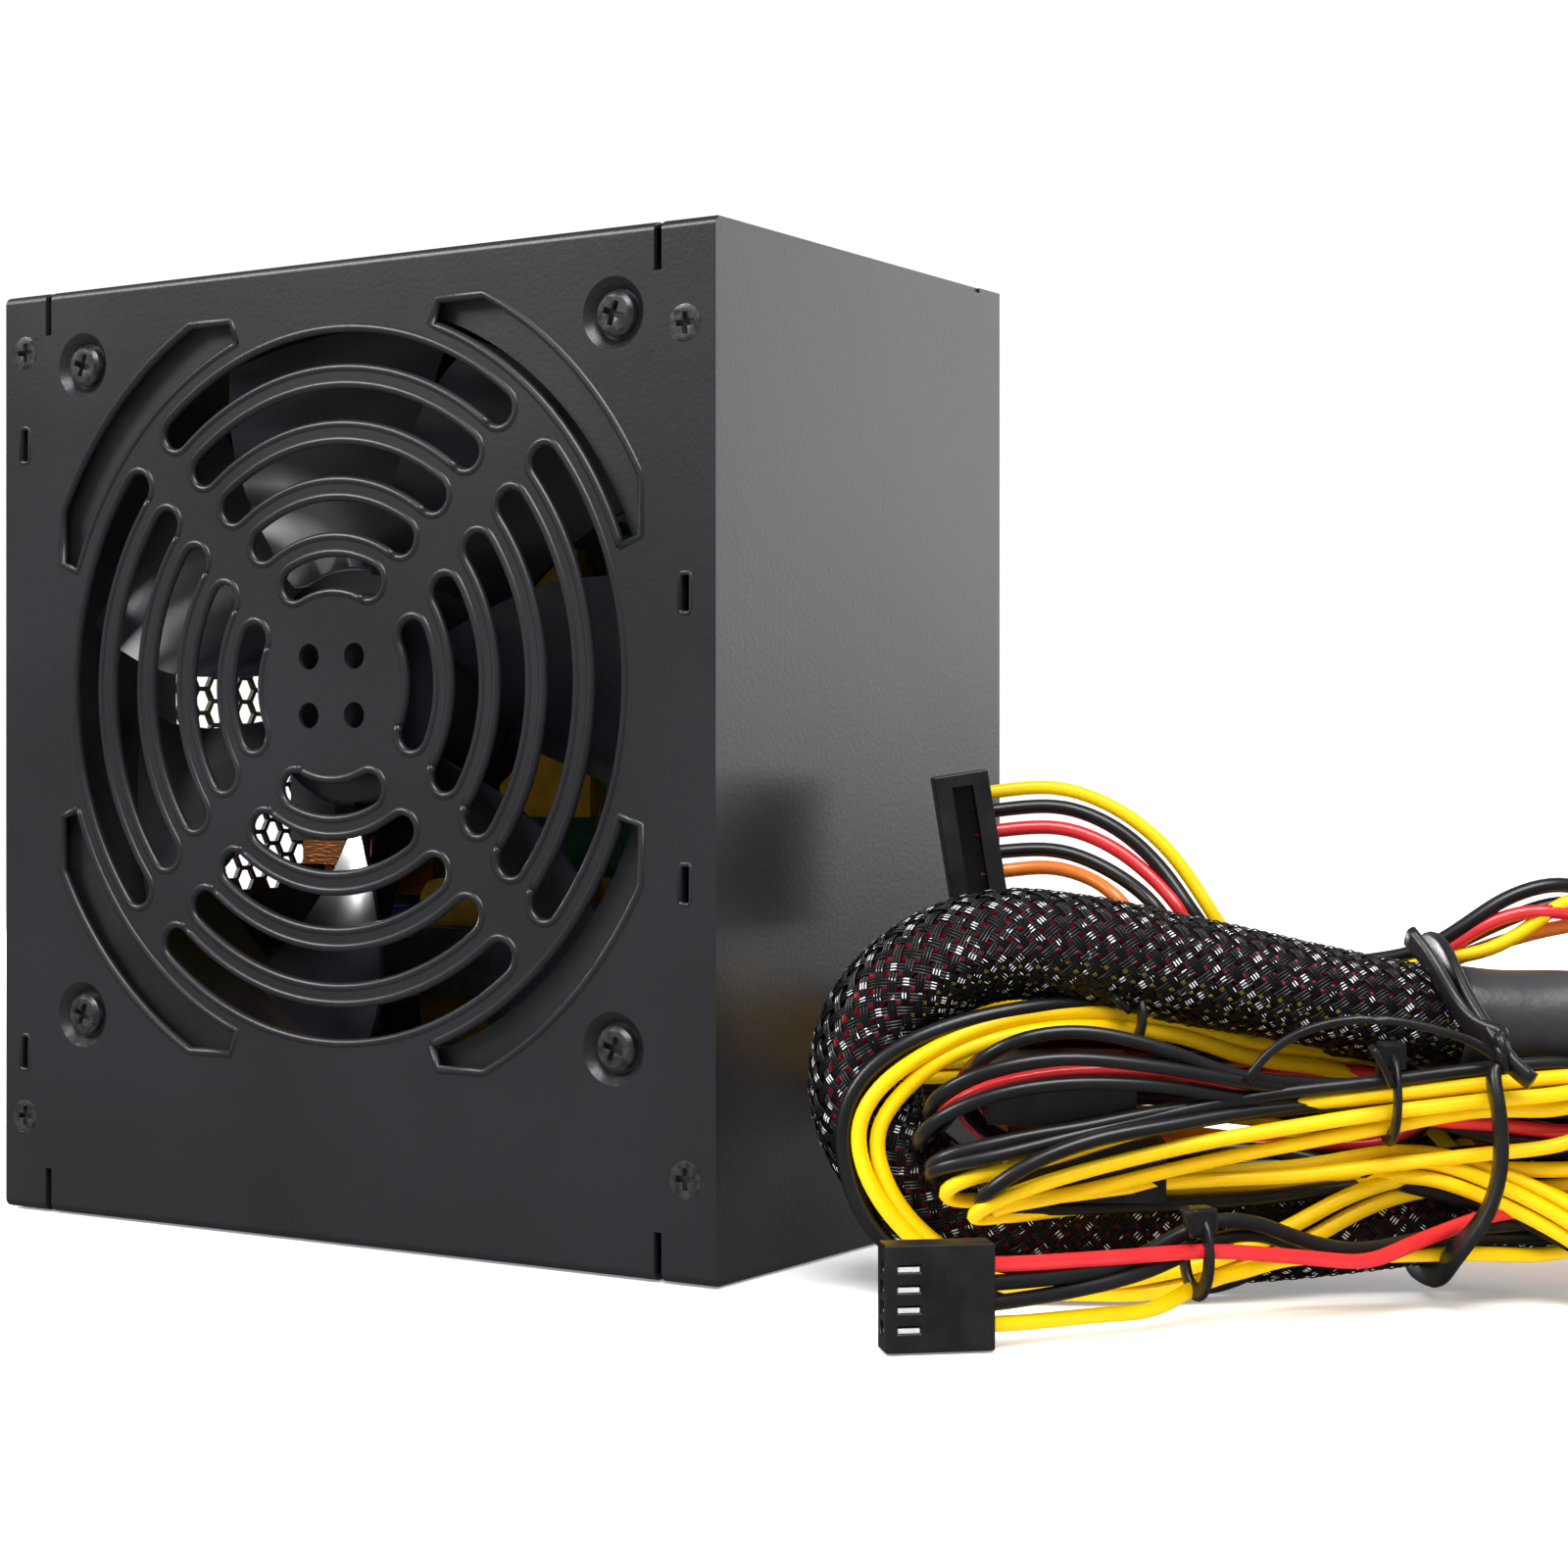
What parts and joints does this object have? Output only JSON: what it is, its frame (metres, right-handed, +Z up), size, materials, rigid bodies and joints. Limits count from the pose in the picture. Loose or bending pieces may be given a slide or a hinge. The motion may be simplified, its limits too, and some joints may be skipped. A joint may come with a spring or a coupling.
{
  "type": "power supply unit",
  "caption": "Box-shaped computer power supply with a slotted fan grille, honeycomb vent, mains inlet and switch, and its output leads tied in a hank.",
  "frame": {"origin": "middle of the case's bottom side, the one that it stands on", "axes": "+X from the mains panel to the lead panel, +Y from the fan face to the back panel, +Z up"},
  "size_m": [0.3286, 0.1539, 0.15],
  "materials": {
    "black_steel": "satin",
    "black_screws": "semi-gloss",
    "fan_frame_plastic": "satin",
    "fan_blade_plastic": "gloss",
    "bright_steel": "brushed",
    "magnet": "matte",
    "brass": "satin",
    "copper_winding": "enamelled",
    "circuit_board": "solder mask",
    "wire_black": "satin",
    "white_nylon": "satin",
    "aluminium": "as extruded",
    "black_epoxy": "moulded",
    "ferrite": "sintered",
    "yellow_tape": "polyester film",
    "capacitor_sleeve": "shrunk sleeve",
    "green_sleeve": "shrunk sleeve",
    "film_box": "moulded box",
    "blue_disc": "dipped",
    "fuse_glass": "clear",
    "black_nylon": "moulded",
    "bush_rubber": "matte",
    "wire_brown": "satin",
    "wire_yellow": "satin",
    "wire_red": "satin",
    "braided_sleeve": "woven nylon"
  },
  "bodies": {
    "case": {"cover": "black_steel", "chassis": "black_steel", "vent_panel": "black_steel", "case_screws": "black_screws", "fan_screws": "black_screws", "fan_frame": "fan_frame_plastic", "fan_bearing": "brass", "fan_stator": "copper_winding", "fan_circuit": "circuit_board", "fan_lead": "wire_black", "fan_plug": "white_nylon", "main_board": "circuit_board", "board_spacers": "brass", "board_screws": "bright_steel", "insulating_sheet": "white_nylon", "primary_heatsink": "aluminium", "secondary_heatsink": "aluminium", "switching_transistors": "black_epoxy", "output_rectifiers": "black_epoxy", "device_screws": "bright_steel", "transformer_core": "ferrite", "transformer_winding": "yellow_tape", "driver_transformer": "yellow_tape", "standby_transformer": "yellow_tape", "bulk_capacitors": "capacitor_sleeve", "output_capacitors": "green_sleeve", "output_choke": "copper_winding", "mains_filter_choke": "copper_winding", "film_capacitors": "film_box", "safety_capacitors": "blue_disc", "bridge_rectifier": "black_epoxy", "mains_fuse": "fuse_glass", "control_board": "circuit_board", "inlet_body": "black_nylon", "inlet_pins": "bright_steel", "switch_housing": "black_nylon", "switch_terminals": "brass", "mains_wires": "wire_brown", "earth_screw": "bright_steel", "lead_bush": "bush_rubber", "output_wires": "wire_yellow", "lead_trunk": "braided_sleeve", "cable_hank": "braided_sleeve", "hank_tie": "black_nylon", "main_connector": "black_nylon", "processor_connector": "black_nylon", "graphics_connector": "black_nylon", "sata_connector": "black_nylon", "floppy_connector": "black_nylon", "drive_connectors": "black_nylon", "main_tail": "braided_sleeve", "processor_tail": "wire_yellow", "graphics_tail": "wire_yellow", "sata_tail": "wire_red", "floppy_tail": "wire_red"},
    "rotor": {"fan_rotor": "fan_blade_plastic", "fan_shaft": "bright_steel", "fan_magnet": "magnet"},
    "rocker": {"switch_rocker": "black_nylon"}
  },
  "joints": [
    {"name": "fan_spin", "type": "hinge", "parent": "case", "child": "rotor", "pos_m": [0, -0.028, 0.085], "axis": [0, 1, 0], "continuous": true},
    {"name": "rocker_tilt", "type": "hinge", "parent": "case", "child": "rocker", "pos_m": [-0.0706, -0.0075, 0.026], "axis": [0, 1, 0], "range_deg": [-20, 0]}
  ]
}
